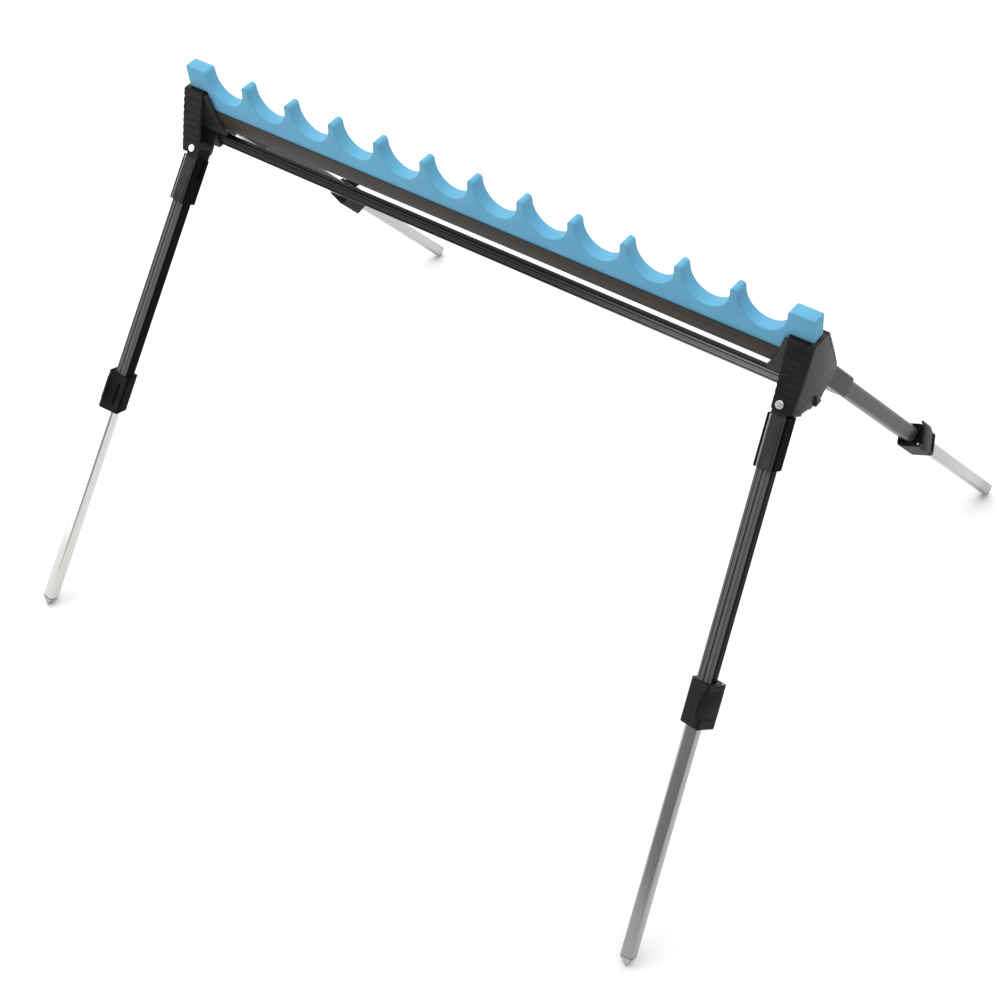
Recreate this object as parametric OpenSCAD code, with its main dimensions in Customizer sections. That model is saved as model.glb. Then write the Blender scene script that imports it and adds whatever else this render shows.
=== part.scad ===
// Pole roost: a notched foam rest on a black channel and rail, held between two ribbed
// brackets on four folding, telescopic legs with flip levers and spiked tips.
// The rail runs along X, the front is -Y, up is +Z. The origin lies on the ground, midway
// between the four tips. Bracket and leg parts are drawn for the front right corner.

/* [Foam rest] */
// Number of notches
notch_count = 12; // [4:1:14]
// Distance between notch centres
notch_pitch = 60; // [56:1:70]
// Radius of the round notch bottom, and half its width
notch_r = 25.6; // [18:0.1:26]
// Depth of a notch below the tooth tips
notch_depth = 31.5; // [28:0.5:34]
// Thickness of the foam, front to back
foam_t = 15.7; // [12:0.1:18]
// Full height of the foam, with the part in the channel
foam_h = 62.2; // [58:0.1:66]
// Width of an end block, from the last notch to the end of the bar
block_w = 28.4; // [27:0.1:34]
// Height of an end block above its bracket
block_h = 25.6; // [22:0.1:27]
// Rounding of the tooth tips
tooth_r = 3; // [1:0.1:4]

/* [Channel and rail] */
// Outer height of the channel
channel_h = 18; // [12:0.5:20]
// Wall of the channel
channel_wall = 1.5; // [1:0.1:2]
// Height of the lower rail
rail_h = 15; // [12:0.5:16]
// Thickness of the lower rail, front to back
rail_t = 7; // [6:0.5:9]
// Wall of the lower rail
rail_wall = 1.2; // [1:0.1:1.5]

/* [Brackets] */
// Height of the tooth tips above the hinge level
tip_rise = 90.2; // [88:0.1:94]
// Distance from the end of the foam in to the hinge pin
pin_inset = 15; // [13:0.5:18]
// Width of a bracket along the rail, at its middle
bracket_w = 26.8; // [26:0.1:32]
// How far the bracket stands out past the end of the foam
bracket_over = 3.8; // [3:0.1:5]
// Radius of the bracket's rounded end, seen from above
end_r = 160; // [150:5:300]
// Thickness of the ribbed side plates
plate_t = 3.2; // [2.6:0.1:3.4]
// Half width of a bracket just under the foam
shoulder_y = 14; // [13.6:0.1:14.4]
// Slope of a side plate from upright, degrees
shoulder_slope = 23; // [22:0.2:24]
// Grooves across a side plate
groove_count = 7; // [2:1:7]
// Distance between grooves
groove_pitch = 7.5; // [4:0.1:7.6]
// Depth of a groove
groove_depth = 0.9; // [0.4:0.1:1.1]
// How far a cheek reaches inward along the rail, past the bracket
cheek_reach = 21.5; // [10:0.5:30]
// Diameter of the hinge pins
pin_d = 5; // [4:0.1:6]
// Diameter of a hinge pin's head
pin_head_d = 8.4; // [7.6:0.1:9.5]

/* [Legs] */
// Front-to-back splay of a leg from upright, degrees
splay = 37.35; // [34:0.05:40]
// Outward lean of a leg along the rail, degrees
lean = 4.64; // [2:0.02:6]
// Distance from hinge to tip
leg_len = 578; // [560:1:640]
// Distance of a leg's axis from the middle plane at the hinge
hinge_y = 28.4; // [27:0.1:32]
// Width of a leg's collar along the rail
collar_w = 22; // [21:0.5:24]
// Depth of a leg's collar, front to back
collar_d = 21; // [20:0.5:22]
// Distance from hinge to the lower end of the collar
collar_end = 61; // [50:1:80]
// Width of the square upper tube
upper_w = 17; // [16:0.1:18]
// Wall of the upper tube
upper_wall = 1.3; // [1:0.1:1.5]
// Distance from hinge to the top of the clamp
clamp_start = 272; // [260:1:280]
// Length of the clamp
clamp_len = 46; // [44:1:52]
// Width and depth of the clamp round the tube
clamp_w = 21.6; // [21:0.1:24]
// Turn of the clamp about its leg, degrees
clamp_turn = 19; // [0:1:24]
// Length of the lower tube
lower_len = 297; // [280:1:320]
// Width of the square lower tube
lower_w = 13.8; // [12.5:0.1:13.8]
// Wall of the lower tube
lower_wall = 1.1; // [0.9:0.1:1.4]
// Length of the spike past the lower tube
tip_len = 13; // [10:0.5:20]

/* [Flip levers] */
// Thickness of a lever
lever_t = 3.5; // [2.6:0.1:3.8]
// Height of a lever, along its leg
lever_h = 27; // [20:0.5:28]
// How far a lever's finger tab stands out in front of its clamp
tab_out = 5; // [3:0.5:8]
// Radius of a lever's cam end
cam_r = 3.2; // [2.8:0.1:3.6]
// Diameter of the lever pins
lever_pin_d = 2.5; // [2:0.1:3]

/* [Hidden] */
$fn = 64;
// Small overlap that lets a cut pass right through
eps = 0.1;
// Gap between a piece and its seat
seat = 0.3;
// Radial gap of a pin in its bore
fit = 0.05;
// Gap of the sliding tubes on each side
slide_gap = 0.15;

// Bar
bar_half = (notch_count - 1) * notch_pitch / 2 + notch_r + block_w;
bracket_x1 = bar_half + bracket_over;
bracket_x0 = bracket_x1 - bracket_w;
pin_x = bar_half - pin_inset;
hinge_z = (leg_len * cos(lean)) * cos(splay);
foam_z0 = tip_rise - foam_h;
saddle_z = tip_rise - block_h;
channel_z0 = foam_z0 - seat - channel_wall;
channel_t = foam_t + 2 * (slide_gap + channel_wall);
core_x0 = bracket_x0 - 1.9;
channel_half = core_x0 - seat;
foam_half_low = core_x0 - seat;

// Side plates
shoulder_z = saddle_z - 0.9;
plate_top_z = saddle_z - seat;
flange_t = 2.2;
foot_z = 1.5;
groove_r = 2;
groove_first = 8;
knuckle_n = collar_d / 2 - 2.3;
boss_n = knuckle_n + seat;
head_n = boss_n + 3.7;
head_seat_d = pin_head_d + 1.2;

// End blocks
shell_x0 = bracket_x1 - 5.5;
relief_t = 2.8;
arch_y = 16.5;
arch_z = -6.8;
arch_r = 13.5;
core_top = plate_top_z - flange_t - seat;
cheek_t = 2.6;
cheek_y = channel_t / 2 + seat;
core_z0 = channel_z0 - 8;
shelf_t = 3;
shelf_x0 = core_x0 - 15;
socket_x0 = bracket_x0 + 1.5;
socket_wall = 2.5;
rail_half = socket_x0 + 11.7;
ear_r = 10.3;
ear_rise = 4.6;
shell_foot_w = 12.4;
shell_foot_z = 6.8;
lug_t = 2.8;
lug_r = pin_d / 2 + 5;
lug_n = collar_d / 2 + seat;
screw_d = 3.8;
screw_head_d = 7;
screw_head_t = 2.2;
channel_screw_x = core_x0 - 7;
rail_screw_x = socket_x0 + 5.5;

// Pins
pin_head_t = 1.5;
pin_tail_t = 1.6;
pin_tail_d = pin_d + 2.4;

// Legs, measured down from the hinge
upper_r = 4.5;
collar_start = 10.3;
pocket_start = 14.5;
upper_start = pocket_start + seat;
clamp_end = clamp_start + clamp_len;
upper_end = clamp_end - 12.3;
tube_end = leg_len - tip_len;
lower_start = tube_end - lower_len;
lower_gap = upper_w / 2 - upper_wall - lower_w / 2;
lower_r = upper_r - upper_wall - lower_gap;
bush_w = upper_w - 2 * (upper_wall + slide_gap);
plug_w = lower_w - 2 * (lower_wall + slide_gap);
plug_len = 12;
bush_flange = 6;

// Clamp: its plan is [outward, inward] from the leg's axis, turned with the clamp
clamp_r = 3.5;
ring_h = 7.4;
lever_in = clamp_w / 2 + seat;
lever_out = lever_in + lever_t;
lever_o = lever_out - cam_r;
lever_n = clamp_w / 2;
clamp_back = lever_n + cam_r;
lever_start = clamp_start + ring_h + seat;
lever_end = lever_start + lever_h;

// Points of the bracket's side view, [y, z] from the middle plane and the hinge level

// A point n inward and e up the slope from the leg's axis at the hinge
function hinge_pt(n, e) =
    [-hinge_y + n * cos(splay) + e * sin(splay), -n * sin(splay) + e * cos(splay)];

// A point on the side plate's line at height z, off inward from its outer face
function plate_pt(off, z) =
    [-shoulder_y - (shoulder_z - z) * tan(shoulder_slope) + off / cos(shoulder_slope), z];

// Where a line off inward from the plate's outer face meets the plane n from the leg's axis
function meet_pt(off, n) =
    let (start = hinge_pt(n, 0), slope = tan(shoulder_slope),
        gap = plate_pt(off, start[1])[0] - start[0])
    hinge_pt(n, gap / (sin(splay) - slope * cos(splay)));

function flip_y(list) = [for (p = list) [-p[0], p[1]]];

function backward(list) = [for (i = [len(list) - 1:-1:0]) list[i]];

// Placing

// Extrudes a [y, z] outline along X
module along_x(x0, x1) {
    translate([x0, 0, 0]) rotate([90, 0, 90]) linear_extrude(x1 - x0) children();
}

// Extrudes an [x, z] outline along Y
module along_y(y0, y1) {
    translate([0, y1, 0]) rotate([90, 0, 0]) linear_extrude(y1 - y0) children();
}

// Lifts what is drawn from the hinge level to its height over the ground
module raised() {
    translate([0, 0, hinge_z]) children();
}

// Mirrors a part drawn for the front right corner: 1 or -1 for right or left, front or rear
module corner(side_x, side_y) {
    mirror([side_x < 0 ? 1 : 0, 0, 0]) mirror([0, side_y < 0 ? 1 : 0, 0]) children();
}

// The hinge frame: X along the rail, Y inward along the pin, Z up the slope
module at_hinge() {
    translate([pin_x, -hinge_y, 0]) rotate([-splay, 0, 0]) children();
}

// The leg frame: the hinge frame leaned outward, the leg runs down -Z
module at_leg() {
    raised() at_hinge() rotate([0, -lean, 0]) children();
}

// Rounded rectangle of w by d
module rounded(w, d, r) {
    square([w, d - 2 * r], center = true);
    square([w - 2 * r, d], center = true);
    for (x = [-1, 1], y = [-1, 1])
        translate([x * (w / 2 - r), y * (d / 2 - r)]) circle(r = r);
}

// A rounded rectangle extruded down -Z between two distances from the hinge
module down(s0, s1, w, d, r) {
    translate([0, 0, -s1]) linear_extrude(s1 - s0) rounded(w, d, r);
}

// A box between two corners
module span(a, b) {
    translate(a) cube(b - a);
}

// A cylinder along Y
module rod_y(y0, y1, d) {
    translate([0, y0, 0]) rotate([-90, 0, 0]) cylinder(h = y1 - y0, d = d);
}

// Bar

// The square corner left over round an arc, to be cut away
module corner_waste(r) {
    difference() {
        translate([-eps, 0]) square([r + eps, r + eps]);
        translate([r, 0]) circle(r = r);
    }
}

module notch() {
    translate([0, notch_r - notch_depth]) {
        circle(r = notch_r, $fn = 96);
        translate([-notch_r, 0]) square([2 * notch_r, notch_depth]);
    }
    for (side = [0, 1])
        mirror([side, 0]) translate([notch_r, -tooth_r]) corner_waste(tooth_r);
}

module foam_rest() {
    color("#6ab4d6") raised() translate([0, 0, tip_rise]) along_y(-foam_t / 2, foam_t / 2)
        difference() {
            union() {
                translate([-bar_half, -block_h]) square([2 * bar_half, block_h]);
                translate([-foam_half_low, -foam_h]) square([2 * foam_half_low, foam_h]);
            }
            for (i = [0:notch_count - 1])
                translate([(i - (notch_count - 1) / 2) * notch_pitch, 0]) notch();
        }
}

module top_channel() {
    color("#3a3634") raised() difference() {
        span([-channel_half, -channel_t / 2, channel_z0],
            [channel_half, channel_t / 2, channel_z0 + channel_h]);
        span([-channel_half - eps, channel_wall - channel_t / 2, channel_z0 + channel_wall],
            [channel_half + eps, channel_t / 2 - channel_wall, channel_z0 + channel_h + eps]);
        for (side = [-1, 1])
            translate([side * channel_screw_x, 0, channel_z0 - eps])
                cylinder(h = channel_wall + 2 * eps, d = screw_d + 2 * fit);
    }
}

// Fluted flat tube, upright in [y, z]
module rail_section() {
    groove_z = 3.6;
    difference() {
        rounded(rail_t, rail_h, 2);
        rounded(rail_t - 2 * rail_wall, rail_h - 2 * rail_wall, 2 - rail_wall);
        for (side = [-1, 1]) {
            for (z = [-groove_z, groove_z])
                translate([side * rail_t / 2, z]) square([1.2, 2], center = true);
            translate([side * rail_t / 2, 0]) square([0.6, 0.8], center = true);
        }
    }
}

module lower_rail() {
    color("#232220") raised() difference() {
        along_x(-rail_half, rail_half) rail_section();
        for (side = [-1, 1])
            translate([side * rail_screw_x, 0, -rail_h / 2 - eps])
                cylinder(h = rail_wall + 2 * eps, d = screw_d + 2 * fit);
    }
}

// Brackets

module plate_section() {
    foot_y = -hinge_y + (-boss_n - foot_z * sin(splay)) / cos(splay);
    difference() {
        polygon([plate_pt(0, foot_z), plate_pt(0, shoulder_z), plate_pt(0.8, plate_top_z),
            plate_pt(plate_t, plate_top_z), meet_pt(plate_t, -boss_n), [foot_y, foot_z]]);
        for (i = [0:groove_count - 1])
            translate(plate_pt(groove_depth - groove_r, shoulder_z
                - (groove_first + i * groove_pitch) * cos(shoulder_slope)))
                circle(r = groove_r, $fn = 24);
    }
}

// Everything inside the bracket's rounded end
module inside_end() {
    translate([bracket_x1 - end_r, 0, -100]) cylinder(h = 200, r = end_r, $fn = 256);
}

module side_plate() {
    bevel = 1;
    color("#262523") raised() {
        difference() {
            union() {
                intersection() {
                    along_x(bracket_x0, bracket_x1) plate_section();
                    inside_end();
                }
                at_hinge() rod_y(-head_n, -boss_n, head_seat_d);
            }
            at_hinge() {
                rod_y(-head_n - 5, -head_n, head_seat_d);
                rod_y(-head_n - eps, 0, pin_d + 2 * fit);
            }
            translate([bracket_x0, 0, foot_z]) rotate([0, 45, 0])
                cube([bevel * sqrt(2), 100, bevel * sqrt(2)], center = true);
        }
        span([bracket_x0, plate_pt(plate_t, plate_top_z)[0] - 1, plate_top_z - flange_t],
            [shell_x0 - seat, -seat / 2, plate_top_z]);
    }
}

// Room between the two side plates, between two heights, in [y, z]
module between_plates(off, z0, z1) {
    line = [plate_pt(plate_t + off, z1), plate_pt(plate_t + off, z0)];
    polygon(concat(line, backward(flip_y(line))));
}

// Outline of the end shell, with an ear over each hinge and a foot over the rail
module shell_outline() {
    intersection() {
        between_plates(0.25, -20, plate_top_z);
        union() {
            translate([-2 * hinge_y, ear_rise]) square([4 * hinge_y, tip_rise]);
            for (side = [-1, 1]) translate([side * hinge_y, ear_rise]) circle(r = ear_r);
            translate([0, -shell_foot_z / 2]) rounded(2 * shell_foot_w, 3 * shell_foot_z, 3);
        }
    }
}

// End shell with a rounded face, sunk in an arch over each hinge
module end_shell() {
    difference() {
        intersection() {
            along_x(shell_x0, bracket_x1) shell_outline();
            inside_end();
        }
        for (side = [-1, 1])
            translate([bracket_x1 - relief_t, side * arch_y, arch_z]) rotate([0, 90, 0])
                cylinder(h = 2 * relief_t, r = arch_r);
    }
}

// Cheek beside the channel, in [x, z], with the slanting inner edge
module cheek_outline() {
    kink_z = channel_z0 + channel_h;
    polygon([[shell_x0 + eps, core_top], [core_x0 - 0.36 * cheek_reach, core_top],
        [core_x0 - 0.59 * cheek_reach, kink_z], [core_x0 - cheek_reach + 1, core_z0 + 3.5],
        [core_x0 - cheek_reach + 1.5, core_z0],
        [shell_x0 + eps, core_z0]]);
}

module hinge_lug() {
    lug_top = 24;
    lug_out = shell_x0 - pin_x + eps;
    at_hinge() along_y(lug_n, lug_n + lug_t) {
        circle(r = lug_r);
        translate([-lug_r, 0]) square([lug_r + lug_out, lug_top]);
        translate([0, -lug_r]) square([lug_out, lug_r + eps]);
    }
}

module end_block() {
    color("#3c3b39") raised() difference() {
        union() {
            end_shell();
            intersection() {
                union() {
                    span([core_x0, -cheek_y - cheek_t, core_z0],
                        [shell_x0 + eps, cheek_y + cheek_t, core_top]);
                    for (side = [0, 1])
                        mirror([0, side, 0])
                            along_y(cheek_y, cheek_y + cheek_t) cheek_outline();
                    span([shelf_x0, -cheek_y - eps, channel_z0 - seat - shelf_t],
                        [core_x0 + eps, cheek_y + eps, channel_z0 - seat]);
                }
                along_x(0, shell_x0 + 1) between_plates(seat, core_z0 - eps, core_top);
            }
            span([socket_x0, -rail_t / 2 - socket_wall, -rail_h / 2 - seat - socket_wall],
                [shell_x0 + eps, rail_t / 2 + socket_wall, core_z0 + eps]);
            for (side = [0, 1]) mirror([0, side, 0]) hinge_lug();
        }
        span([0, -rail_t / 2 - seat, -rail_h / 2 - seat],
            [rail_half + seat, rail_t / 2 + seat, rail_h / 2 + seat]);
        for (side = [0, 1])
            mirror([0, side, 0]) at_hinge() rod_y(0, lug_n + lug_t + 2, pin_d + 2 * fit);
        translate([channel_screw_x, 0, core_z0])
            cylinder(h = 20, d = screw_d + 2 * fit);
        translate([rail_screw_x, 0, -rail_h])
            cylinder(h = rail_h, d = screw_d + 2 * fit);
    }
}

module screw(len) {
    translate([0, 0, -screw_head_t]) cylinder(h = screw_head_t, d = screw_head_d);
    translate([0, 0, -eps]) cylinder(h = len + eps, d = screw_d);
}

module block_screws() {
    color("#8c8c8a") raised() {
        translate([channel_screw_x, 0, channel_z0 - seat - shelf_t])
            screw(seat + shelf_t + channel_wall);
        translate([rail_screw_x, 0, -rail_h / 2 - seat - socket_wall])
            screw(seat + socket_wall + rail_wall);
    }
}

// Legs

// Rivet with a domed head in front and a flat tail behind
module hinge_pin() {
    color("#d8d8d6") raised() at_hinge() {
        rod_y(-head_n - pin_head_t, -head_n, pin_head_d);
        rod_y(-head_n - eps, lug_n + lug_t + eps, pin_d);
        rod_y(lug_n + lug_t, lug_n + lug_t + pin_tail_t, pin_tail_d);
    }
}

// Knuckle on the pin, with the collar for the upper tube below it
module leg_socket() {
    knuckle_w = 2 * (pin_x - bracket_x0);
    groove_o = 6.8;
    slot_n = 6;
    slot_depth = 1.6;
    color("#343230") at_leg() difference() {
        union() {
            rod_y(-knuckle_n, collar_d / 2, knuckle_w);
            span([-knuckle_w / 2, -knuckle_n, -collar_start - 5],
                [knuckle_w / 2, collar_d / 2, 0]);
            down(collar_start, collar_end, collar_w, collar_d, 3);
        }
        rod_y(-collar_d, collar_d, pin_d + 2 * fit);
        down(pocket_start, collar_end + eps, upper_w + 2 * slide_gap,
            upper_w + 2 * slide_gap, upper_r + slide_gap);
        for (o = [-groove_o, groove_o])
            span([o - 0.6, -collar_d / 2 - eps, -collar_end - eps],
                [o + 0.6, -collar_d / 2 + 0.6, -pocket_start]);
        span([-collar_w / 2 - eps, -slot_n / 2, -30], [slot_depth - collar_w / 2, slot_n / 2, 0]);
    }
}

// Square tube with three flutes front and back
module fluted_section() {
    difference() {
        rounded(upper_w, upper_w, upper_r);
        rounded(upper_w - 2 * upper_wall, upper_w - 2 * upper_wall, upper_r - upper_wall);
        for (side = [-1, 1]) {
            translate([0, side * upper_w / 2]) square([1.5, 0.9], center = true);
            for (o = [-4.4, 4.4])
                translate([o, side * upper_w / 2]) square([0.7, 0.5], center = true);
        }
    }
}

module upper_tube() {
    color("#2b2a28") at_leg() translate([0, 0, -upper_end])
        linear_extrude(upper_end - upper_start) fluted_section();
}

// Rounded plan from the clamp's front inner corner to a far point
module clamp_plan(far_o, far_n) {
    translate([(far_o - clamp_w / 2) / 2, (far_n - clamp_w / 2) / 2])
        rounded(far_o + clamp_w / 2, far_n + clamp_w / 2, clamp_r);
}

// Room in the clamp's side for the lever
module lever_room() {
    translate([clamp_w / 2, -clamp_w]) square([clamp_w, clamp_w + lever_n]);
    translate([lever_o, lever_n]) circle(r = cam_r + seat);
    translate([lever_o, lever_n]) square(clamp_w);
}

// Turns what is drawn with the clamp
module turned() {
    rotate([0, 0, -clamp_turn]) children();
}

// Clamp body: a ring and a foot join over the lever's side and hold its pin
module clamp() {
    bevel = 2.4;
    color("#2e2d2b") at_leg() difference() {
        turned() translate([0, 0, -clamp_end])
            linear_extrude(clamp_len) clamp_plan(lever_out, clamp_back);
        turned() translate([0, 0, -lever_end - seat])
            linear_extrude(lever_h + 2 * seat) lever_room();
        turned() translate([lever_o, lever_n, -clamp_end - eps])
            cylinder(h = clamp_len + 2 * eps, d = lever_pin_d + 2 * fit);
        turned() for (edge = [-clamp_w / 2, clamp_back])
            translate([0, edge, -clamp_end]) rotate([45, 0, 0])
                cube([4 * clamp_w, bevel, bevel], center = true);
        turned() for (edge = [-clamp_w / 2, lever_out])
            translate([edge, 0, -clamp_end]) rotate([0, 45, 0])
                cube([bevel, 4 * clamp_w, bevel], center = true);
        down(clamp_start - eps, upper_end + seat, upper_w + 2 * slide_gap,
            upper_w + 2 * slide_gap, upper_r + slide_gap);
        down(clamp_start, clamp_end + eps, lower_w + 2 * slide_gap,
            lower_w + 2 * slide_gap, lower_r + slide_gap);
    }
}

// Lever drawn closed: a cam end on the pin, a side plate and a finger tab in front
module lever() {
    front = clamp_w / 2;
    color("#3b3936") at_leg() turned() difference() {
        translate([0, 0, -lever_end]) linear_extrude(lever_h) {
            translate([lever_o, lever_n]) circle(r = cam_r);
            polygon([[lever_in, lever_n], [lever_in, -front - seat],
                [lever_in - 2, -front - tab_out], [lever_in + 0.6, -front - tab_out],
                [lever_out, -front + 1.5], [lever_out, lever_n]]);
        }
        translate([lever_o, lever_n, -lever_end - eps])
            cylinder(h = lever_h + 2 * eps, d = lever_pin_d + 2 * fit);
    }
}

module lever_pin() {
    color("#b9b9b7") at_leg() turned() translate([lever_o, lever_n, -clamp_end])
        cylinder(h = clamp_len, d = lever_pin_d);
}

module lower_tube() {
    color("#b7b7b5") at_leg() difference() {
        down(lower_start, tube_end, lower_w, lower_w, lower_r);
        down(lower_start - eps, tube_end + eps, lower_w - 2 * lower_wall,
            lower_w - 2 * lower_wall, lower_r - lower_wall);
    }
}

// Plug in the top of the lower tube with a flange that runs in the upper tube
module bush() {
    color("#c9c9c4") at_leg() {
        down(lower_start - seat - bush_flange, lower_start - seat, bush_w, bush_w,
            upper_r - upper_wall - slide_gap);
        down(lower_start - seat - eps, lower_start + plug_len, plug_w, plug_w,
            lower_r - lower_wall - slide_gap);
    }
}

// Pointed plug in the foot of the lower tube
module tip() {
    neck = 1.4;
    base = lower_w - 1;
    color("#a9a6a1") at_leg() {
        down(tube_end - plug_len, tube_end + neck, plug_w, plug_w,
            lower_r - lower_wall - slide_gap);
        translate([0, 0, -leg_len]) intersection() {
            wedge(base, tip_len - neck);
            rotate([0, 0, 90]) wedge(base, tip_len - neck);
        }
    }
}

// Triangle standing on its point, extruded to a square plan
module wedge(w, h) {
    along_y(-w / 2, w / 2) polygon([[0, 0], [w / 2, h], [-w / 2, h]]);
}

foam_rest();
top_channel();
lower_rail();
corner(-1, 1) end_block();  // left_end_block
corner(1, 1) end_block();  // right_end_block
corner(-1, 1) side_plate();  // front_left_plate
corner(-1, -1) side_plate();  // rear_left_plate
corner(1, 1) side_plate();  // front_right_plate
corner(1, -1) side_plate();  // rear_right_plate
corner(-1, 1) block_screws();  // left_block_screws
corner(1, 1) block_screws();  // right_block_screws
corner(-1, 1) hinge_pin();  // front_left_pin
corner(-1, 1) leg_socket();  // front_left_socket
corner(-1, 1) upper_tube();  // front_left_upper_tube
corner(-1, 1) clamp();  // front_left_clamp
corner(-1, 1) lever();  // front_left_lever
corner(-1, 1) lever_pin();  // front_left_lever_pin
corner(-1, 1) lower_tube();  // front_left_lower_tube
corner(-1, 1) bush();  // front_left_bush
corner(-1, 1) tip();  // front_left_tip
corner(1, 1) hinge_pin();  // front_right_pin
corner(1, 1) leg_socket();  // front_right_socket
corner(1, 1) upper_tube();  // front_right_upper_tube
corner(1, 1) clamp();  // front_right_clamp
corner(1, 1) lever();  // front_right_lever
corner(1, 1) lever_pin();  // front_right_lever_pin
corner(1, 1) lower_tube();  // front_right_lower_tube
corner(1, 1) bush();  // front_right_bush
corner(1, 1) tip();  // front_right_tip
corner(-1, -1) hinge_pin();  // rear_left_pin
corner(-1, -1) leg_socket();  // rear_left_socket
corner(-1, -1) upper_tube();  // rear_left_upper_tube
corner(-1, -1) clamp();  // rear_left_clamp
corner(-1, -1) lever();  // rear_left_lever
corner(-1, -1) lever_pin();  // rear_left_lever_pin
corner(-1, -1) lower_tube();  // rear_left_lower_tube
corner(-1, -1) bush();  // rear_left_bush
corner(-1, -1) tip();  // rear_left_tip
corner(1, -1) hinge_pin();  // rear_right_pin
corner(1, -1) leg_socket();  // rear_right_socket
corner(1, -1) upper_tube();  // rear_right_upper_tube
corner(1, -1) clamp();  // rear_right_clamp
corner(1, -1) lever();  // rear_right_lever
corner(1, -1) lever_pin();  // rear_right_lever_pin
corner(1, -1) lower_tube();  // rear_right_lower_tube
corner(1, -1) bush();  // rear_right_bush
corner(1, -1) tip();  // rear_right_tip
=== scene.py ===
"""Pole roost: a notched foam rest on a black channel and rail, between two ribbed brackets on
four folding, telescopic legs.

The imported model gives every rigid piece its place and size. This script rounds the edges of the
channel, screws, pins, levers and lower tubes, cuts back the cheeks of the end blocks, adds their
webs and skirts, slots two clamps, makes the foam bar with its softened corners, and gives every
piece its finish. Lengths are in metres, and those drawn in millimetres are multiplied by MM.
"""
import math

import bmesh
import bpy
from mathutils import Matrix, Vector


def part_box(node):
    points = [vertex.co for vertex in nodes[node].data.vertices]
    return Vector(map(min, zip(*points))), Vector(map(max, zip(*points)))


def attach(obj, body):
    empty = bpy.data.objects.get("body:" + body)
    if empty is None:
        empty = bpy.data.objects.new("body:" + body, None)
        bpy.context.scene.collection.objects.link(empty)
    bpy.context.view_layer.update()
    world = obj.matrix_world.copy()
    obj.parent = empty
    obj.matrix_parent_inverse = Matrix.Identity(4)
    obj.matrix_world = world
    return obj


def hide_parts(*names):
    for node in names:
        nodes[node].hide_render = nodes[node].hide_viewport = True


MM = 0.001

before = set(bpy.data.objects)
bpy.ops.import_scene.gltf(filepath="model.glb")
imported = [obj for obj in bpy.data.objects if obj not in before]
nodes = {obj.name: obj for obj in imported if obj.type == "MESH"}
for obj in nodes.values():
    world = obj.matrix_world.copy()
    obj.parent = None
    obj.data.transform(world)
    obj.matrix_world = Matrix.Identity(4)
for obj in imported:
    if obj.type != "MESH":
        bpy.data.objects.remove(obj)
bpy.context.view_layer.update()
scene = bpy.context.scene
SIDES = ("left", "right")
LEGS = ("front_left", "front_right", "rear_left", "rear_right")


# Where the legs stand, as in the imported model

SPLAY = math.radians(37.35)
LEAN = math.radians(4.64)
CLAMP_TURN = math.radians(19.0)
PIN_X = 369.0 * MM
HINGE_Y = 28.4 * MM
HINGE_DROP = 90.2 * MM
HINGE_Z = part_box("foam_rest")[1][2] - HINGE_DROP


def outward(name):
    """1 for a piece at the right end of the bar, -1 for one at the left end."""
    return 1.0 if name.endswith("right") else -1.0


def forward(leg):
    """1 for a front leg, -1 for a rear one."""
    return 1.0 if leg.startswith("front") else -1.0


def leg_frame(leg, twist):
    """A leg's own frame at its hinge: across (x, y) and up (z), twisted about the leg."""
    side, front = outward(leg), forward(leg)
    return (
        Matrix.Translation((side * PIN_X, -front * HINGE_Y, HINGE_Z))
        @ Matrix.Rotation(-front * SPLAY, 4, "X")
        @ Matrix.Rotation(-side * LEAN, 4, "Y")
        @ Matrix.Rotation(-side * front * twist, 4, "Z")
    )


# Shader maths

class Socket:
    """A node's output that takes part in Python arithmetic."""

    def __init__(self, tree, link):
        self.tree = tree
        self.link = link

    def math(self, operation, *others):
        return self.tree.add("ShaderNodeMath", {"operation": operation}, self, *others)

    def __add__(self, other):
        return self.math("ADD", other)

    def __radd__(self, other):
        return self.math("ADD", other)

    def __sub__(self, other):
        return self.math("SUBTRACT", other)

    def __rsub__(self, other):
        return self.tree.add("ShaderNodeMath", {"operation": "SUBTRACT"}, other, self)

    def __mul__(self, other):
        return self.math("MULTIPLY", other)

    def __rmul__(self, other):
        return self.math("MULTIPLY", other)

    def __abs__(self):
        return self.math("ABSOLUTE")

    def clamp(self, high=1.0):
        return self.math("MAXIMUM", 0.0).math("MINIMUM", high)

    def step(self, low, high):
        """Runs from 0 at low to 1 at high with soft ends."""
        return self.tree.add(
            "ShaderNodeMapRange", {"interpolation_type": "SMOOTHSTEP"}, self, low, high, 0.0, 1.0,
        )

    def within(self, inner, outer):
        """1 up to inner and 0 from outer on, with soft ends."""
        return 1.0 - self.step(inner, outer)


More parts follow.
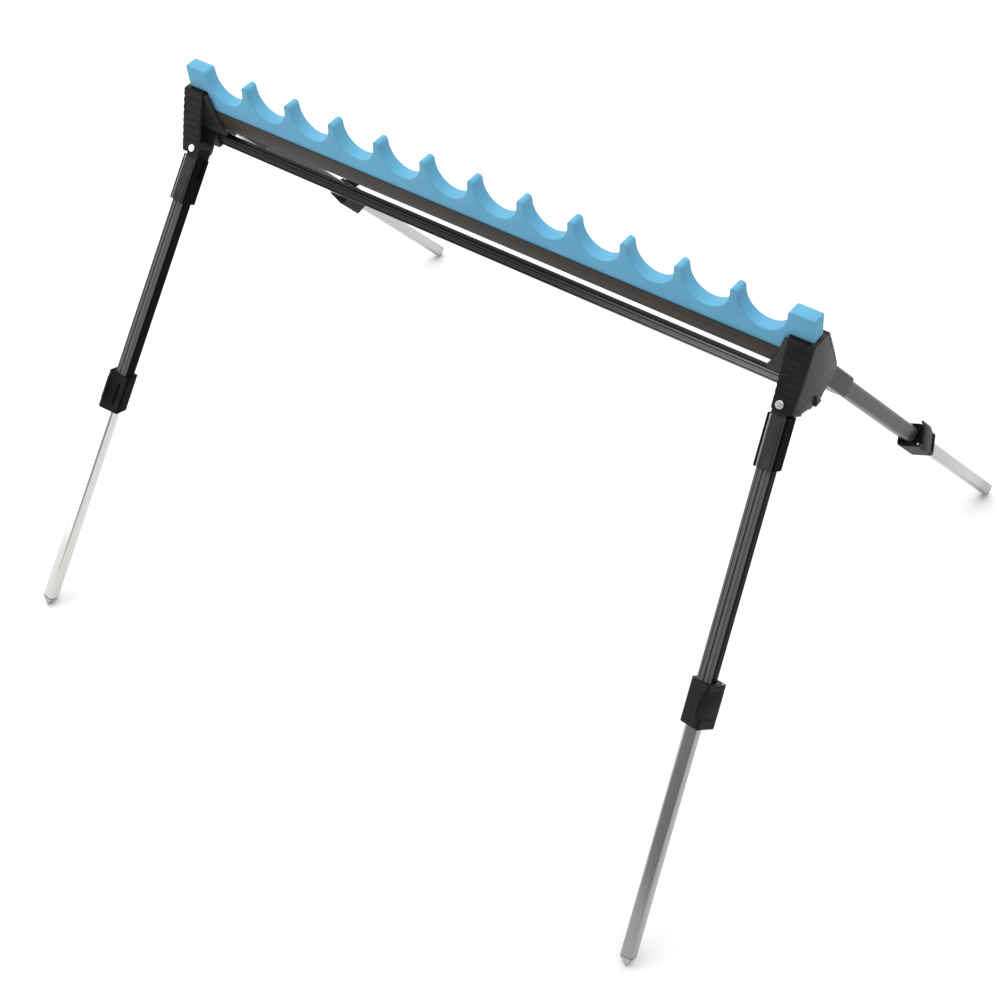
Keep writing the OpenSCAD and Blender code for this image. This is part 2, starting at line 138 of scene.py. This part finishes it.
class Finish:
    """One material's node tree."""

    def __init__(self, name):
        self.material = bpy.data.materials.new(name)
        self.material.use_nodes = True
        self.tree = self.material.node_tree
        self.shader = self.tree.nodes["Principled BSDF"]
        self.place = self.add("ShaderNodeTexCoord", {}, output="Object")

    def add(self, kind, settings, *values, output=0, **named):
        """A node with its settings, and the values or links of its sockets."""
        node = self.tree.nodes.new(kind)
        for key, value in settings.items():
            setattr(node, key, value)
        for index, value in enumerate(values):
            self.put(node.inputs[index], value)
        for key, value in named.items():
            self.put(node.inputs[key.replace("_", " ")], value)
        return Socket(self, node.outputs[output])

    def put(self, socket, value):
        if isinstance(value, Socket):
            self.tree.links.new(value.link, socket)
        elif value is not None:
            socket.default_value = value

    def set(self, **named):
        """Sets or links sockets of the shader, and gives the material."""
        for key, value in named.items():
            self.put(self.shader.inputs[key.replace("_", " ")], value)
        return self.material

    def scaled(self, place, scale):
        return self.add("ShaderNodeMapping", {"vector_type": "POINT"}, place, Scale=scale)

    def in_mm(self, **frame_place):
        """Millimetres in the frame at a Location and Rotation."""
        return self.add(
            "ShaderNodeMapping", {"vector_type": "TEXTURE"}, self.place,
            Scale=(MM, MM, MM), **frame_place,
        )

    def noise(self, scale, detail, rough, where=None):
        return self.add(
            "ShaderNodeTexNoise", {"noise_dimensions": "3D"},
            Vector=where or self.place, Scale=scale, Detail=detail, Roughness=rough,
        )

    def cells(self, scale):
        return self.add(
            "ShaderNodeTexVoronoi", {"feature": "F1"}, Vector=self.place, Scale=scale,
        )

    def split(self, vector, axis):
        return self.add("ShaderNodeSeparateXYZ", {}, vector, output=axis)

    def mix(self, factor, first, second):
        """Mixes two colours, past the node's five sockets for numbers and vectors."""
        colours = [c if isinstance(c, Socket) else (*c, 1.0) for c in (first, second)]
        return self.add(
            "ShaderNodeMix", {"data_type": "RGBA"}, factor, *[None] * 5, *colours, output=2,
        )

    def bump(self, height, distance, strength, over=None):
        return self.add(
            "ShaderNodeBump", {}, Height=height, Distance=distance, Strength=strength, Normal=over,
        )

    def eased(self, radius):
        """A normal that turns smoothly over the piece's edges."""
        return self.add("ShaderNodeBevel", {"samples": 6}, Radius=radius)


def leg_place(look, leg, twist=0.0):
    """Millimetres across a leg (x, y) and up it (z), from its hinge."""
    place = leg_frame(leg, twist)
    return look.in_mm(Location=tuple(place.translation), Rotation=tuple(place.to_euler("XYZ")))


def rail_place(look):
    """Millimetres along the rail (x), through it (y) and up it (z), from its middle."""
    low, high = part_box("lower_rail")
    return look.in_mm(Location=(0.0, 0.0, (low[2] + high[2]) / 2))


# Foam and mouldings

FOAM_BLUE = (0.108, 0.368, 0.560)
FOAM_BLUE_PALE = (0.122, 0.398, 0.600)
FOAM_PORE = (0.18, 0.46, 0.66)
EDGE_EASE = 0.5 * MM


def foam_finish():
    """Sky-blue closed-cell foam: a dry, finely pored cut with faint mottling."""
    look = Finish("foam")
    pores = look.cells(scale=1500.0)
    grain = look.noise(scale=900.0, detail=3.0, rough=0.6)
    clouds = look.noise(scale=34.0, detail=3.0, rough=0.55)
    tone = look.mix(clouds.step(0.35, 0.68), FOAM_BLUE, FOAM_BLUE_PALE)
    return look.set(
        Base_Color=look.mix(pores.step(0.0, 0.45) * 0.10, tone, FOAM_PORE),
        Roughness=0.82 + 0.12 * grain,
        Specular_IOR_Level=0.28,
        Sheen_Weight=0.18,
        Sheen_Roughness=0.5,
        Normal=look.bump(grain * 0.6 + pores * 0.4, distance=0.22 * MM, strength=0.55),
    )


def moulded_finish(name, base, rough, index):
    """Black glass-filled nylon with a fine spark-eroded grain and a few paler scuffs."""
    look = Finish(name)
    grain = look.noise(scale=2300.0, detail=2.0, rough=0.6)
    flow = look.noise(scale=60.0, detail=4.0, rough=0.55)
    scuffs = look.noise(scale=420.0, detail=5.0, rough=0.7).step(0.66, 0.78)
    pale = tuple(c * 1.9 + 0.008 for c in base)
    return look.set(
        Base_Color=look.mix(scuffs * 0.35 + flow.step(0.4, 0.75) * 0.25, base, pale),
        Roughness=rough + 0.10 * flow + 0.06 * grain,
        IOR=index,
        Normal=look.bump(grain, distance=0.016 * MM, strength=0.6, over=look.eased(EDGE_EASE)),
    )


COLLAR_GROOVE_X = 6.8
COLLAR_LAND_X = 8.1
COLLAR_BLACK = (0.044, 0.044, 0.046)
COLLAR_BLACK_PALE = (0.056, 0.056, 0.058)
# The next three tones are painted light: shade painted on the collar's sides, a highlight painted
# pale along one groove, and a fainter sheen painted on the land.
COLLAR_SIDE_SHADE = (0.006, 0.006, 0.006)
COLLAR_PAINTED_HIGHLIGHT = (0.42, 0.42, 0.41)
COLLAR_LAND_PAINTED_SHEEN = (0.060, 0.060, 0.058)


def collar_finish(leg):
    """Satin moulding with a highlight painted pale along one groove, a fainter sheen painted on the
    land, and painted shade on its sides.
    """
    look = Finish(f"{leg}_collar")
    place = leg_place(look, leg)
    across = look.split(place, 0)
    fluted_face = abs(look.split(place, 1)).step(8.4, 9.4)
    flow = look.noise(scale=60.0, detail=4.0, rough=0.55)
    # A highlight painted pale along the left groove's edge.
    painted_highlight = abs(across + COLLAR_GROOVE_X).within(0.55, 0.95) * fluted_face
    land_sheen = abs(across - COLLAR_LAND_X).within(0.5, 0.9) * fluted_face
    side = abs(across).step(7.4, 8.2)
    tone = look.mix(flow.step(0.35, 0.7), COLLAR_BLACK, COLLAR_BLACK_PALE)
    # Painted shade on the collar's sides, which are also rougher.
    tone = look.mix(side, tone, COLLAR_SIDE_SHADE)
    tone = look.mix(painted_highlight, tone, COLLAR_PAINTED_HIGHLIGHT)
    return look.set(
        # A fainter sheen painted on the land.
        Base_Color=look.mix(land_sheen * 0.9, tone, COLLAR_LAND_PAINTED_SHEEN),
        Roughness=0.24 + 0.10 * flow + 0.4 * side,
        IOR=1.08,
        Normal=look.eased(EDGE_EASE),
    )


CLAMP_FACE = 10.8
CLAMP_BLACK = (0.0130, 0.0122, 0.0114)
CLAMP_BLACK_PALE = (0.0200, 0.0190, 0.0180)
# Shade painted dark into the clamp's slot.
SLOT_PAINTED_SHADE = (0.001, 0.001, 0.001)


def slotted_finish(leg):
    """Black moulding with shade painted dark down in the clamp's slot."""
    look = Finish(f"{leg}_clamp")
    height = abs(look.split(leg_place(look, leg, CLAMP_TURN), 1))
    flow = look.noise(scale=60.0, detail=4.0, rough=0.55)
    # Painted shade down in the slot, which is also rougher.
    shaded_slot = height.within(CLAMP_FACE - 0.6, CLAMP_FACE - 0.2)
    tone = look.mix(flow.step(0.4, 0.75), CLAMP_BLACK, CLAMP_BLACK_PALE)
    return look.set(
        Base_Color=look.mix(shaded_slot * 0.9, tone, SLOT_PAINTED_SHADE),
        Roughness=0.40 + 0.12 * flow + 0.4 * shaded_slot,
        IOR=1.18,
        Normal=look.eased(EDGE_EASE),
    )


def natural_finish():
    """Pale bush moulding, hidden in the tubes."""
    look = Finish("bush")
    flow = look.noise(scale=300.0, detail=3.0, rough=0.5)
    return look.set(
        Base_Color=look.mix(flow, (0.55, 0.55, 0.52), (0.63, 0.63, 0.60)),
        Roughness=0.45 + 0.1 * flow,
    )


# Metals

CHANNEL_BLACK = (0.040, 0.0350, 0.0315)
RAIL_BLACK = (0.030, 0.0295, 0.0285)
# A painted sheen that pales the rail toward its right end.
RAIL_PAINTED_SHEEN = (0.300, 0.298, 0.295)
RAIL_FLUTE_Z = 3.6
# The front tubes' black is painted paler than the rear ones' as painted light.
FRONT_TUBE_PAINTED_LIGHT = (0.110, 0.109, 0.105)
REAR_TUBE_BLACK = (0.046, 0.0455, 0.044)
TUBE_HAIRLINE_X = 4.4
# Shade painted nearly black into flutes, hairlines and shaded faces.
PAINTED_SHADE_BLACK = (0.007, 0.007, 0.007)
SILVER_TINT = (1.0, 0.991, 0.966)
# Each leg's silver is painted lighter or darker as painted light and shade.
SILVER_PAINTED_LIGHT_LEVELS = {"front_left": 0.60, "front_right": 0.31, "rear_left": 0.44, "rear_right": 0.44}


def lengthwise(across, along):
    return (along, across, across)


def upright(across, along):
    return (across, across, along)


def paler(base, contrast):
    """The tone of a metal's paler streaks."""
    return tuple(min(1.0, c * (1.0 + contrast) + 0.004) for c in base)


def drawn_metal(look, place, stretch, base, streak, rough, dark=None, ease=0.35 * MM,
                metallic=1.0, index=1.5):
    """Anodised aluminium with die lines along the extrusion, with shade painted nearly black where
    dark is 1.
    """
    fine_lines = look.scaled(place, stretch(2.6, 0.006))
    broad_lines = look.scaled(place, stretch(0.42, 0.002))
    fine = look.noise(scale=1.0, detail=3.0, rough=0.65, where=fine_lines)
    broad = look.noise(scale=1.0, detail=2.0, rough=0.5, where=broad_lines)
    tone = look.mix(broad.step(0.3, 0.7), base, streak)
    if dark is not None:
        tone = look.mix(dark, tone, PAINTED_SHADE_BLACK)
    return look.set(
        Base_Color=tone,
        Metallic=metallic,
        IOR=index,
        Roughness=rough + 0.10 * fine + 0.05 * broad,
        Normal=look.bump(fine, distance=0.01 * MM, strength=0.6, over=look.eased(ease)),
    )


def channel_finish():
    """Warm black anodising on the channel, a little duller than the rail's."""
    look = Finish("channel")
    return drawn_metal(
        look, rail_place(look), lengthwise, CHANNEL_BLACK, paler(CHANNEL_BLACK, 0.25),
        rough=0.34, ease=0.25 * MM, metallic=0.15, index=1.25,
    )


def rail_finish():
    """Black anodising with painted shade in the flutes, centre line and top and bottom faces, and a
    painted sheen that pales the lands toward the right end.
    """
    look = Finish("rail")
    place = rail_place(look)
    height = abs(look.split(place, 2))
    # Painted shade in the flutes and the centre line, and on the top and bottom faces under the
    # channel.
    flutes = abs(height - RAIL_FLUTE_Z).within(0.75, 1.15)
    centre = height.within(0.25, 0.5)
    edges = height.step(6.3, 6.9)
    # Painted sheen, growing toward the right end.
    painted_sheen = look.split(place, 0).step(40.0, 380.0)
    tone = look.mix(painted_sheen, RAIL_BLACK, RAIL_PAINTED_SHEEN)
    return drawn_metal(
        look, place, lengthwise, tone, look.mix(0.3, tone, (0.0, 0.0, 0.0)), rough=0.22,
        dark=(0.75 * flutes + 0.85 * centre + 0.9 * edges).clamp(high=0.92),
        metallic=0.15, index=1.2,
    )


def black_tube_finish(leg):
    """Black anodising with painted shade in its centre flute and two hairlines; a front leg's is
    painted paler as painted light, with painted shade on its sides.
    """
    look = Finish(f"{leg}_black_tube")
    place = leg_place(look, leg)
    across = abs(look.split(place, 0))
    fluted_face = abs(look.split(place, 1)).step(7.6, 7.9)
    # Painted shade in the centre flute and the two hairlines.
    flute = across.within(0.45, 0.8)
    hairlines = abs(across - TUBE_HAIRLINE_X).within(0.25, 0.5)
    dark = (0.85 * flute + 0.6 * hairlines) * fluted_face
    # A front leg's tube is painted paler as painted light, with painted shade on its sides.
    if forward(leg) > 0:
        return drawn_metal(
            look, place, upright, FRONT_TUBE_PAINTED_LIGHT, paler(FRONT_TUBE_PAINTED_LIGHT, 0.2),
            rough=0.24, dark=(dark + across.step(7.3, 8.0)).clamp(), metallic=0.05, index=1.06,
        )
    return drawn_metal(
        look, place, upright, REAR_TUBE_BLACK, paler(REAR_TUBE_BLACK, 0.2),
        rough=0.20, dark=dark, metallic=0.2, index=1.3,
    )


def silver_tube_finish(leg):
    """Satin silver anodising, painted lighter or darker on each leg as painted light and shade."""
    look = Finish(f"{leg}_silver_tube")
    base = tuple(SILVER_PAINTED_LIGHT_LEVELS[leg] * c for c in SILVER_TINT)
    return drawn_metal(look, leg_place(look, leg), upright, base, paler(base, 0.12), rough=0.18)


def metal_finish(name, base, rough):
    """Plated or cast metal, lightly handled."""
    look = Finish(name)
    wear = look.noise(scale=700.0, detail=4.0, rough=0.6)
    return look.set(
        Base_Color=look.mix(wear.step(0.35, 0.7), base, tuple(c * 0.82 for c in base)),
        Metallic=1.0,
        Roughness=rough + 0.16 * wear,
        Normal=look.bump(wear, distance=0.05 * MM, strength=0.5),
    )


# Finishes of the carried-over pieces

moulding = moulded_finish("moulding", (0.0120, 0.0113, 0.0105), rough=0.38, index=1.22)
shell_moulding = moulded_finish("shell_moulding", (0.034, 0.0305, 0.0280), rough=0.36, index=1.26)
satin_moulding = moulded_finish("satin_moulding", (0.0140, 0.0138, 0.0138), rough=0.20, index=1.28)
pin_metal = metal_finish("pin", (0.80, 0.80, 0.78), rough=0.24)
screw_metal = metal_finish("screw", (0.42, 0.42, 0.40), rough=0.34)
tip_metal = metal_finish("tip", (0.50, 0.49, 0.46), rough=0.38)
bush_plastic = natural_finish()


def dress(name, material):
    for slot in nodes[name].material_slots:
        slot.material = material


dress("lower_rail", rail_finish())
for leg in LEGS:
    dress(f"{leg}_plate", moulding)
    dress(f"{leg}_socket", collar_finish(leg) if forward(leg) > 0 else satin_moulding)
    dress(f"{leg}_clamp", moulding)
    dress(f"{leg}_bush", bush_plastic)
    dress(f"{leg}_tip", tip_metal)
    dress(f"{leg}_upper_tube", black_tube_finish(leg))


# Shaping

FLAT_BELOW = math.radians(1.0)
ROUNDED_ABOVE = math.radians(28.0)
SMOOTH_BELOW = math.radians(38.0)
RIM_ABOVE = math.radians(60.0)
WELD = 0.002 * MM


def finished(shape, name, material):
    """Turns a bmesh into a smoothly shaded object of the scene."""
    for face in shape.faces:
        face.smooth = True
    for edge in shape.edges:
        edge.smooth = edge.calc_face_angle(0.0) < SMOOTH_BELOW
    mesh = bpy.data.meshes.new(name)
    shape.to_mesh(mesh)
    shape.free()
    mesh.materials.append(material)
    piece = bpy.data.objects.new(name, mesh)
    scene.collection.objects.link(piece)
    return piece


def fitted(piece, body, node=None):
    """Lets a piece ride on its body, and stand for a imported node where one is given."""
    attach(piece, body)
    if node:
        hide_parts(node)
    return piece


def packed_copy(node):
    """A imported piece's mesh with its corners merged."""
    shape = bmesh.new()
    shape.from_mesh(nodes[node].data)
    bmesh.ops.remove_doubles(shape, verts=shape.verts, dist=WELD)
    return shape


def rims(shape):
    """The edges between faces that meet squarely."""
    return [e for e in shape.edges if e.calc_face_angle(0.0) > RIM_ABOVE]


def round_over(shape, edges, radius, segments):
    bmesh.ops.bevel(
        shape, geom=edges, offset=radius, offset_type="OFFSET", segments=segments, profile=0.5,
        affect="EDGES", clamp_overlap=False, material=-1, miter_outer="SHARP", miter_inner="SHARP",
    )


def split_wide_faces(shape):
    """Makes triangles of the faces with more than four corners."""
    bmesh.ops.triangulate(shape, faces=[f for f in shape.faces if len(f.verts) > 4])
    bmesh.ops.recalc_face_normals(shape, faces=shape.faces)


def draw_out(shape, face, reach):
    """Extrudes a flat face into a solid."""
    grown = bmesh.ops.extrude_face_region(shape, geom=[face], use_keep_orig=True)["geom"]
    far = [g for g in grown if isinstance(g, bmesh.types.BMVert)]
    bmesh.ops.translate(shape, vec=reach, verts=far)
    bmesh.ops.recalc_face_normals(shape, faces=shape.faces)


def prism(shape, points, low, high, across):
    """A prism over an outline in millimetres, from the hinges' height, along the x or y axis."""
    made = []
    for first, second in points:
        place = (low, first, second) if across == "x" else (first, low, second)
        made.append(shape.verts.new(Vector(place) * MM + Vector((0.0, 0.0, HINGE_Z))))
    step = (high - low) * MM
    draw_out(shape, shape.faces.new(made), (step, 0.0, 0.0) if across == "x" else (0.0, step, 0.0))


# Pieces with rounded edges

def softened(node, body, material, radius, segments=2):
    """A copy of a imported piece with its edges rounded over, which stands for that piece."""
    shape = packed_copy(node)
    bmesh.ops.dissolve_limit(
        shape, angle_limit=FLAT_BELOW, use_dissolve_boundaries=False,
        verts=shape.verts, edges=shape.edges, delimit=set(),
    )
    sharp = [e for e in shape.edges if e.is_manifold and e.calc_face_angle(0.0) > ROUNDED_ABOVE]
    round_over(shape, sharp, radius, segments)
    split_wide_faces(shape)
    fitted(finished(shape, f"{node}_soft", material), body, node)


softened("top_channel", "rest", channel_finish(), radius=0.25 * MM)
for side in SIDES:
    softened(f"{side}_block_screws", "rest", screw_metal, radius=0.3 * MM)
for leg in LEGS:
    tube = silver_tube_finish(leg)
    softened(f"{leg}_pin", "rest", pin_metal, radius=0.7 * MM, segments=4)
    softened(f"{leg}_lever_pin", f"{leg}_leg", pin_metal, radius=0.2 * MM)
    softened(f"{leg}_lever", f"{leg}_lever", moulding, radius=0.5 * MM)
    softened(f"{leg}_lower_tube", f"{leg}_foot", tube, radius=0.3 * MM)


# End blocks and slotted clamps, drawn in millimetres from the middle of the bar and the hinges

CORE_X = 359.1
CHEEK_CUT = (
    (330.0, 80.0), (CORE_X, 80.0), (CORE_X, 61.8), (352.6, 44.2), (338.6, 21.7), (330.0, 21.7),
)
CUT_HALF_DEPTH = 60.0
WEB_OUTLINE = (
    (361.0, 61.8), (356.0, 61.8), (355.0, 58.5), (350.1, 42.5), (343.0, 24.0), (361.0, 24.0),
)
WEB_FRONTS = (-12.9, 9.8)
WEB_THICK = 3.1
SKIRT_EDGE = ((34.0, 1.0), (31.0, -4.0), (26.0, -6.5), (15.0, -10.5), (9.0, -13.0))
SKIRT_TOP = (24.0, 6.0)
SKIRT_X = 385.05
SKIRT_THICK = 2.0
SLOTTED_CLAMP = {"left": "front_left", "right": "rear_right"}
SLOT_CENTRE = (-2.0, -CLAMP_FACE, -296.0)
SLOT_SIZE = (2.6, 1.6, 25.0)


def carved(node, body, cutter_shape, material):
    """A packed moulding with a shape cut out of it, which stands for that moulding."""
    cutter = finished(cutter_shape, "cutter", material)
    piece = finished(packed_copy(node), f"{node}_carved", material)
    cut = piece.modifiers.new("cut", "BOOLEAN")
    cut.operation = "DIFFERENCE"
    cut.solver = "EXACT"
    cut.object = cutter
    cut_piece = piece.evaluated_get(bpy.context.evaluated_depsgraph_get())
    mesh = bpy.data.meshes.new_from_object(cut_piece)
    piece.modifiers.clear()
    piece.data = mesh
    bpy.data.objects.remove(cutter)
    fitted(piece, body, node)


def at_side(side, points):
    """An outline of the right end, mirrored where it is for the left one."""
    return [(outward(side) * x, z) for x, z in points]


def carved_block(side):
    """The end block with its cheeks cut back to the edge that slants up to the core."""
    shape = bmesh.new()
    prism(shape, at_side(side, CHEEK_CUT), -CUT_HALF_DEPTH, CUT_HALF_DEPTH, "y")
    carved(f"{side}_end_block", "rest", shape, shell_moulding)


def slotted_clamp(leg):
    """The clamp with the long slot in its plain face."""
    across, through, up = SLOT_CENTRE
    centre = Vector((across * outward(leg), through * forward(leg), up)) * MM
    place = leg_frame(leg, CLAMP_TURN) @ Matrix.Translation(centre)
    shape = bmesh.new()
    bmesh.ops.create_cube(shape, size=MM, matrix=place @ Matrix.Diagonal((*SLOT_SIZE, 1.0)))
    carved(f"{leg}_clamp", f"{leg}_leg", shape, slotted_finish(leg))


def cheek_webs(side):
    """The webs that join the cheeks to the foam's end and to the channel, front and rear."""
    shape = bmesh.new()
    for front in WEB_FRONTS:
        prism(shape, at_side(side, WEB_OUTLINE), front, front + WEB_THICK, "y")
    fitted(finished(shape, f"{side}_cheek_webs", shell_moulding), "rest")


def skirt(side):
    """The thin moulded skirt that closes the shell below its two arches."""
    top_y, top_z = SKIRT_TOP
    far_edge = [(-y, z) for y, z in reversed(SKIRT_EDGE)]
    outline = [*SKIRT_EDGE, *far_edge, (-top_y, top_z), (top_y, top_z)]
    outer = outward(side) * SKIRT_X
    shape = bmesh.new()
    prism(shape, outline, outer - outward(side) * SKIRT_THICK, outer, "x")
    round_over(shape, rims(shape), EDGE_EASE, segments=2)
    fitted(finished(shape, f"{side}_skirt", shell_moulding), "rest")


for side in SIDES:
    carved_block(side)
    slotted_clamp(SLOTTED_CLAMP[side])
    cheek_webs(side)
    skirt(side)


# The foam bar, drawn in millimetres from the middle of its top

NOTCHES = 12
NOTCH_PITCH = 60.0
NOTCH_R = 25.6
NOTCH_DEPTH = 31.5
NOTCH_STEPS = 36
CROWN_R = 4.2
CROWN_STEPS = 6
BAR_HALF = 384.0
BAR_LOW_HALF = 358.8
END_BLOCK_H = 25.6
FOAM_EDGE = 1.1 * MM


class Outline:
    """A line drawn in the bar's front plane."""

    def __init__(self, shape, top, x, z):
        self.shape = shape
        self.top = top
        self.start = self.end = shape.verts.new(self.at(x, z))

    def at(self, x, z):
        return Vector((x * MM, 0.0, self.top + z * MM))

    def to(self, x, z):
        """Draws straight on."""
        self.end = bmesh.ops.extrude_vert_indiv(self.shape, verts=[self.end])["verts"][0]
        self.end.co = self.at(x, z)

    def swing(self, x, z, degrees, steps):
        """Draws an arc round a centre."""
        drawn = bmesh.ops.spin(
            self.shape, geom=[self.end], cent=self.at(x, z), axis=(0.0, 1.0, 0.0),
            angle=math.radians(degrees), steps=steps,
        )
        self.end = next(g for g in drawn["geom_last"] if isinstance(g, bmesh.types.BMVert))

    def notch(self, x):
        """Draws down from one tooth's crown, round the notch and up to the next crown."""
        centre = NOTCH_R - NOTCH_DEPTH
        self.to(x - NOTCH_R - CROWN_R, 0.0)
        self.swing(x - NOTCH_R - CROWN_R, -CROWN_R, 90.0, CROWN_STEPS)
        self.to(x - NOTCH_R, centre)
        self.swing(x, centre, -180.0, NOTCH_STEPS)
        self.to(x + NOTCH_R, -CROWN_R)
        self.swing(x + NOTCH_R + CROWN_R, -CROWN_R, 90.0, CROWN_STEPS)

    def fill(self):
        """Joins the end to the start and fills the line with one face."""
        self.shape.edges.new((self.end, self.start))
        return bmesh.ops.contextual_create(self.shape, geom=self.shape.edges[:])["faces"][0]


def make_foam_bar():
    (_, front, underside), (_, back, top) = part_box("foam_rest")
    foot = (underside - top) / MM
    shape = bmesh.new()
    line = Outline(shape, top, -BAR_HALF, 0.0)
    for number in range(NOTCHES):
        line.notch((number - (NOTCHES - 1) / 2) * NOTCH_PITCH)
    line.to(BAR_HALF, 0.0)
    line.to(BAR_HALF, -END_BLOCK_H)
    line.to(BAR_LOW_HALF, -END_BLOCK_H)
    line.to(BAR_LOW_HALF, foot)
    line.to(-BAR_LOW_HALF, foot)
    line.to(-BAR_LOW_HALF, -END_BLOCK_H)
    line.to(-BAR_HALF, -END_BLOCK_H)
    face = line.fill()
    bmesh.ops.translate(shape, vec=(0.0, front, 0.0), verts=shape.verts)
    draw_out(shape, face, (0.0, back - front, 0.0))
    round_over(shape, rims(shape), FOAM_EDGE, segments=3)
    split_wide_faces(shape)
    bar = fitted(finished(shape, "foam_bar", foam_finish()), "rest", "foam_rest")


make_foam_bar()


# Camera, floor and light

CAMERA_PLACE = (0.9676, -1.0795, 1.6515)
CAMERA_YAW = math.radians(42.40)
CAMERA_PITCH = math.radians(47.21)
CAMERA_ROLL = math.radians(-7.04)
FOCAL_PIXELS = 1851.0
IMAGE_PIXELS = 1001.0
SENSOR_MM = 36.0
SIGHT_END = 100.0
FLOOR_HALF = 12.0
WORLD_STRENGTH = 0.42

camera_data = bpy.data.cameras.new("camera")
camera_data.sensor_width = SENSOR_MM
camera_data.sensor_fit = "HORIZONTAL"
camera_data.lens = FOCAL_PIXELS / IMAGE_PIXELS * SENSOR_MM
camera_data.clip_end = SIGHT_END
camera = bpy.data.objects.new("camera", camera_data)
camera.matrix_world = (
    Matrix.Translation(CAMERA_PLACE)
    @ Matrix.Rotation(CAMERA_YAW, 4, "Z")
    @ Matrix.Rotation(math.pi / 2 - CAMERA_PITCH, 4, "X")
    @ Matrix.Rotation(CAMERA_ROLL, 4, "Z")
)
scene.collection.objects.link(camera)
scene.camera = camera


def make_floor():
    """The plain pale floor."""
    look = Finish("floor")
    pale = look.set(Base_Color=(0.94, 0.94, 0.94, 1.0), Roughness=0.9, Specular_IOR_Level=0.2)
    shape = bmesh.new()
    bmesh.ops.create_grid(shape, x_segments=1, y_segments=1, size=FLOOR_HALF)
    mesh = bpy.data.meshes.new("floor")
    shape.to_mesh(mesh)
    shape.free()
    mesh.materials.append(pale)
    floor = bpy.data.objects.new("floor", mesh)
    scene.collection.objects.link(floor)


def soft_light(name, place, toward, size, power):
    data = bpy.data.lights.new(name, "AREA")
    data.shape = "RECTANGLE"
    data.size, data.size_y = size
    data.energy = power
    light = bpy.data.objects.new(name, data)
    turn = (Vector(toward) - Vector(place)).to_track_quat("-Z", "Y")
    light.matrix_world = Matrix.Translation(place) @ turn.to_matrix().to_4x4()
    scene.collection.objects.link(light)


make_floor()
soft_light("overhead", (-0.3, 0.7, 3.0), toward=(0.0, 0.0, 0.0), size=(5.5, 5.5), power=160.0)
soft_light("left_panel", (-2.15, -1.9, 0.95), toward=(0.0, -0.1, 0.25), size=(1.5, 1.7), power=16.0)

world = bpy.data.worlds.new("studio")
scene.world = world
world.use_nodes = True
background = world.node_tree.nodes["Background"]
background.inputs["Color"].default_value = (1.0, 1.0, 1.0, 1.0)
background.inputs["Strength"].default_value = WORLD_STRENGTH
scene.view_settings.view_transform = "Standard"
